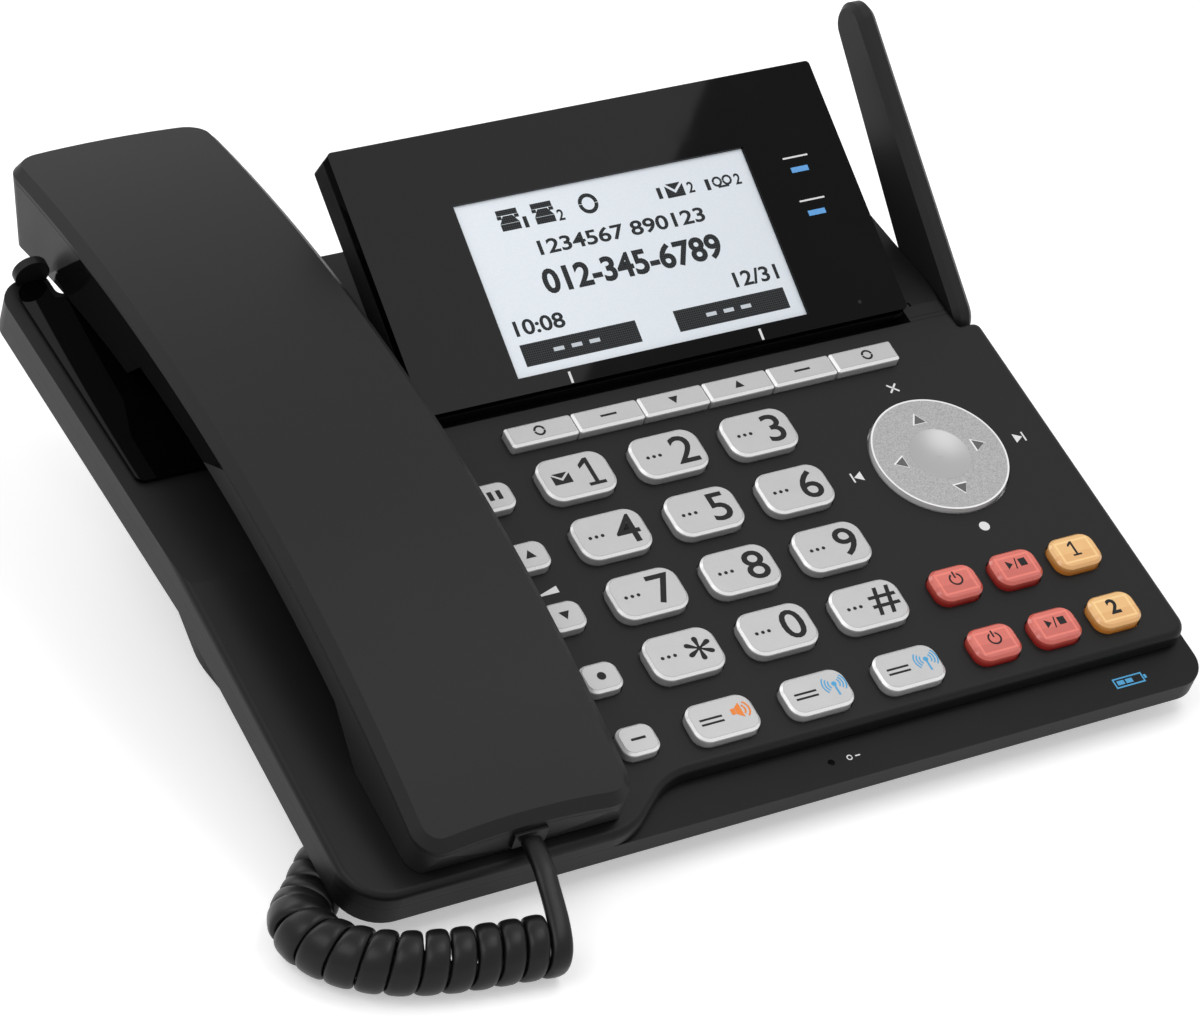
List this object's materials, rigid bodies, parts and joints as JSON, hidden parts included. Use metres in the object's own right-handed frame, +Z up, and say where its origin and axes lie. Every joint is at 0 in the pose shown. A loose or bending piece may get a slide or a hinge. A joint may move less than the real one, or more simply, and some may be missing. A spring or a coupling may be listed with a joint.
{
  "type": "corded desk telephone with answering machine",
  "caption": "Corded desk telephone with built-in answering machine, arched handset on a cradle, tilting display, silver keys, round four-way pad, folding antenna and a wedge stand.",
  "frame": {"origin": "on the table, under the middle of the telephone without its cord", "axes": "+Z up; -Y towards the user, where the keys are; +X to the user's right, where the antenna is"},
  "size_m": [0.2234, 0.2309, 0.0994],
  "materials": {
    "housing_black": "fine satin texture",
    "gloss_black": "polished",
    "rubber": "matt",
    "screw_steel": "plain",
    "board_green": "solder mask",
    "mat_rubber": "matt",
    "speaker_black": "matt",
    "jack_black": "matt",
    "cord_black": "satin vinyl",
    "lcd_glass": "display behind clear sheet",
    "lens_blue": "clear tinted",
    "key_silver": "satin silver",
    "lit_key_red": "translucent satin",
    "lit_key_orange": "translucent satin"
  },
  "bodies": {
    "base": {"lower_housing": "housing_black", "upper_housing": "housing_black", "cradle_insert": "gloss_black", "desk_stand": "housing_black", "rubber_feet": "rubber", "housing_screws": "screw_steel", "main_board": "board_green", "keypad_membrane": "mat_rubber", "loudspeaker": "speaker_black", "base_microphone": "screw_steel", "usb_socket": "screw_steel", "phone_jacks": "jack_black", "cord_coil": "cord_black", "cord_lead_base": "cord_black", "cord_lead_handset": "cord_black"},
    "handset": {"handset_cover": "housing_black", "handset_shell": "gloss_black", "receiver_capsule": "speaker_black", "handset_microphone": "speaker_black", "cord_plug": "cord_black"},
    "display": {"display_bezel": "gloss_black", "display_case": "housing_black", "lcd_module": "lcd_glass", "indicator_lenses": "lens_blue"},
    "antenna": {"antenna": "housing_black"},
    "hook": {"hook_button": "housing_black"},
    "gimbal": {"dial_gimbal": "housing_black"},
    "dial": {"dial_pad": "key_silver"},
    "key_0": {"key_0": "key_silver"},
    "key_1": {"key_1": "key_silver"},
    "key_2": {"key_2": "key_silver"},
    "key_3": {"key_3": "key_silver"},
    "key_4": {"key_4": "key_silver"},
    "key_5": {"key_5": "key_silver"},
    "key_6": {"key_6": "key_silver"},
    "key_7": {"key_7": "key_silver"},
    "key_8": {"key_8": "key_silver"},
    "key_9": {"key_9": "key_silver"},
    "key_hash": {"key_hash": "key_silver"},
    "key_lit_1": {"key_lit_1": "lit_key_red"},
    "key_lit_2": {"key_lit_2": "lit_key_red"},
    "key_lit_3": {"key_lit_3": "lit_key_orange"},
    "key_lit_4": {"key_lit_4": "lit_key_red"},
    "key_lit_5": {"key_lit_5": "lit_key_red"},
    "key_lit_6": {"key_lit_6": "lit_key_orange"},
    "key_side_1": {"key_side_1": "key_silver"},
    "key_side_2": {"key_side_2": "key_silver"},
    "key_side_3": {"key_side_3": "key_silver"},
    "key_side_4": {"key_side_4": "key_silver"},
    "key_side_5": {"key_side_5": "key_silver"},
    "key_soft_1": {"key_soft_1": "key_silver"},
    "key_soft_2": {"key_soft_2": "key_silver"},
    "key_soft_3": {"key_soft_3": "key_silver"},
    "key_soft_4": {"key_soft_4": "key_silver"},
    "key_soft_5": {"key_soft_5": "key_silver"},
    "key_soft_6": {"key_soft_6": "key_silver"},
    "key_speaker": {"key_speaker": "key_silver"},
    "key_star": {"key_star": "key_silver"},
    "key_talk_left": {"key_talk_left": "key_silver"},
    "key_talk_right": {"key_talk_right": "key_silver"}
  },
  "joints": [
    {"name": "dial_pitch", "type": "hinge", "parent": "base", "child": "gimbal", "pos_m": [0.073, -0.03441, 0.03201], "axis": [1, 0, 0], "range_deg": [-2, 2], "stiffness_Nm_per_rad": 0.6},
    {"name": "dial_roll", "type": "hinge", "parent": "gimbal", "child": "dial", "pos_m": [0.073, -0.03441, 0.03201], "axis": [0, 0.9511, 0.309], "range_deg": [-2, 2], "stiffness_Nm_per_rad": 0.6},
    {"name": "handset_lift", "type": "slide", "parent": "base", "child": "handset", "axis": [0, -0.309, 0.9511], "range_m": [0, 0.06], "deforming": ["cord_lead_handset"]},
    {"name": "hook_rise", "type": "slide", "parent": "base", "child": "hook", "axis": [0, -0.309, 0.9511], "range_m": [0, 0.003]},
    {"name": "display_tilt", "type": "hinge", "parent": "base", "child": "display", "pos_m": [0.02525, 0.00542, 0.04713], "axis": [1, 0, 0], "range_deg": [-4, 35]},
    {"name": "antenna_swing", "type": "hinge", "parent": "base", "child": "antenna", "pos_m": [0.1014, 0.0045, 0.04397], "axis": [1, 0, 0], "range_deg": [-26, 63]},
    {"name": "key_0_press", "type": "slide", "parent": "base", "child": "key_0", "axis": [0, 0.309, -0.9511], "range_m": [0, 0.0012], "stiffness_N_per_m": 450},
    {"name": "key_1_press", "type": "slide", "parent": "base", "child": "key_1", "axis": [0, 0.309, -0.9511], "range_m": [0, 0.0012], "stiffness_N_per_m": 450},
    {"name": "key_2_press", "type": "slide", "parent": "base", "child": "key_2", "axis": [0, 0.309, -0.9511], "range_m": [0, 0.0012], "stiffness_N_per_m": 450},
    {"name": "key_3_press", "type": "slide", "parent": "base", "child": "key_3", "axis": [0, 0.309, -0.9511], "range_m": [0, 0.0012], "stiffness_N_per_m": 450},
    {"name": "key_4_press", "type": "slide", "parent": "base", "child": "key_4", "axis": [0, 0.309, -0.9511], "range_m": [0, 0.0012], "stiffness_N_per_m": 450},
    {"name": "key_5_press", "type": "slide", "parent": "base", "child": "key_5", "axis": [0, 0.309, -0.9511], "range_m": [0, 0.0012], "stiffness_N_per_m": 450},
    {"name": "key_6_press", "type": "slide", "parent": "base", "child": "key_6", "axis": [0, 0.309, -0.9511], "range_m": [0, 0.0012], "stiffness_N_per_m": 450},
    {"name": "key_7_press", "type": "slide", "parent": "base", "child": "key_7", "axis": [0, 0.309, -0.9511], "range_m": [0, 0.0012], "stiffness_N_per_m": 450},
    {"name": "key_8_press", "type": "slide", "parent": "base", "child": "key_8", "axis": [0, 0.309, -0.9511], "range_m": [0, 0.0012], "stiffness_N_per_m": 450},
    {"name": "key_9_press", "type": "slide", "parent": "base", "child": "key_9", "axis": [0, 0.309, -0.9511], "range_m": [0, 0.0012], "stiffness_N_per_m": 450},
    {"name": "key_hash_press", "type": "slide", "parent": "base", "child": "key_hash", "axis": [0, 0.309, -0.9511], "range_m": [0, 0.0012], "stiffness_N_per_m": 450},
    {"name": "key_lit_1_press", "type": "slide", "parent": "base", "child": "key_lit_1", "axis": [0, 0.309, -0.9511], "range_m": [0, 0.0012], "stiffness_N_per_m": 450},
    {"name": "key_lit_2_press", "type": "slide", "parent": "base", "child": "key_lit_2", "axis": [0, 0.309, -0.9511], "range_m": [0, 0.0012], "stiffness_N_per_m": 450},
    {"name": "key_lit_3_press", "type": "slide", "parent": "base", "child": "key_lit_3", "axis": [0, 0.309, -0.9511], "range_m": [0, 0.0012], "stiffness_N_per_m": 450},
    {"name": "key_lit_4_press", "type": "slide", "parent": "base", "child": "key_lit_4", "axis": [0, 0.309, -0.9511], "range_m": [0, 0.0012], "stiffness_N_per_m": 450},
    {"name": "key_lit_5_press", "type": "slide", "parent": "base", "child": "key_lit_5", "axis": [0, 0.309, -0.9511], "range_m": [0, 0.0012], "stiffness_N_per_m": 450},
    {"name": "key_lit_6_press", "type": "slide", "parent": "base", "child": "key_lit_6", "axis": [0, 0.309, -0.9511], "range_m": [0, 0.0012], "stiffness_N_per_m": 450},
    {"name": "key_side_1_press", "type": "slide", "parent": "base", "child": "key_side_1", "axis": [0, 0.309, -0.9511], "range_m": [0, 0.0012], "stiffness_N_per_m": 300},
    {"name": "key_side_2_press", "type": "slide", "parent": "base", "child": "key_side_2", "axis": [0, 0.309, -0.9511], "range_m": [0, 0.0012], "stiffness_N_per_m": 300},
    {"name": "key_side_3_press", "type": "slide", "parent": "base", "child": "key_side_3", "axis": [0, 0.309, -0.9511], "range_m": [0, 0.0012], "stiffness_N_per_m": 300},
    {"name": "key_side_4_press", "type": "slide", "parent": "base", "child": "key_side_4", "axis": [0, 0.309, -0.9511], "range_m": [0, 0.0012], "stiffness_N_per_m": 300},
    {"name": "key_side_5_press", "type": "slide", "parent": "base", "child": "key_side_5", "axis": [0, 0.309, -0.9511], "range_m": [0, 0.0012], "stiffness_N_per_m": 300},
    {"name": "key_soft_1_press", "type": "slide", "parent": "base", "child": "key_soft_1", "axis": [0, 0.309, -0.9511], "range_m": [0, 0.0012], "stiffness_N_per_m": 300},
    {"name": "key_soft_2_press", "type": "slide", "parent": "base", "child": "key_soft_2", "axis": [0, 0.309, -0.9511], "range_m": [0, 0.0012], "stiffness_N_per_m": 300},
    {"name": "key_soft_3_press", "type": "slide", "parent": "base", "child": "key_soft_3", "axis": [0, 0.309, -0.9511], "range_m": [0, 0.0012], "stiffness_N_per_m": 300},
    {"name": "key_soft_4_press", "type": "slide", "parent": "base", "child": "key_soft_4", "axis": [0, 0.309, -0.9511], "range_m": [0, 0.0012], "stiffness_N_per_m": 300},
    {"name": "key_soft_5_press", "type": "slide", "parent": "base", "child": "key_soft_5", "axis": [0, 0.309, -0.9511], "range_m": [0, 0.0012], "stiffness_N_per_m": 300},
    {"name": "key_soft_6_press", "type": "slide", "parent": "base", "child": "key_soft_6", "axis": [0, 0.309, -0.9511], "range_m": [0, 0.0012], "stiffness_N_per_m": 300},
    {"name": "key_speaker_press", "type": "slide", "parent": "base", "child": "key_speaker", "axis": [0, 0.309, -0.9511], "range_m": [0, 0.0012], "stiffness_N_per_m": 450},
    {"name": "key_star_press", "type": "slide", "parent": "base", "child": "key_star", "axis": [0, 0.309, -0.9511], "range_m": [0, 0.0012], "stiffness_N_per_m": 450},
    {"name": "key_talk_left_press", "type": "slide", "parent": "base", "child": "key_talk_left", "axis": [0, 0.309, -0.9511], "range_m": [0, 0.0012], "stiffness_N_per_m": 450},
    {"name": "key_talk_right_press", "type": "slide", "parent": "base", "child": "key_talk_right", "axis": [0, 0.309, -0.9511], "range_m": [0, 0.0012], "stiffness_N_per_m": 450}
  ],
  "couplings": [
    {"joint": "hook_rise", "follows": "handset_lift", "ratio": 0.05}
  ]
}
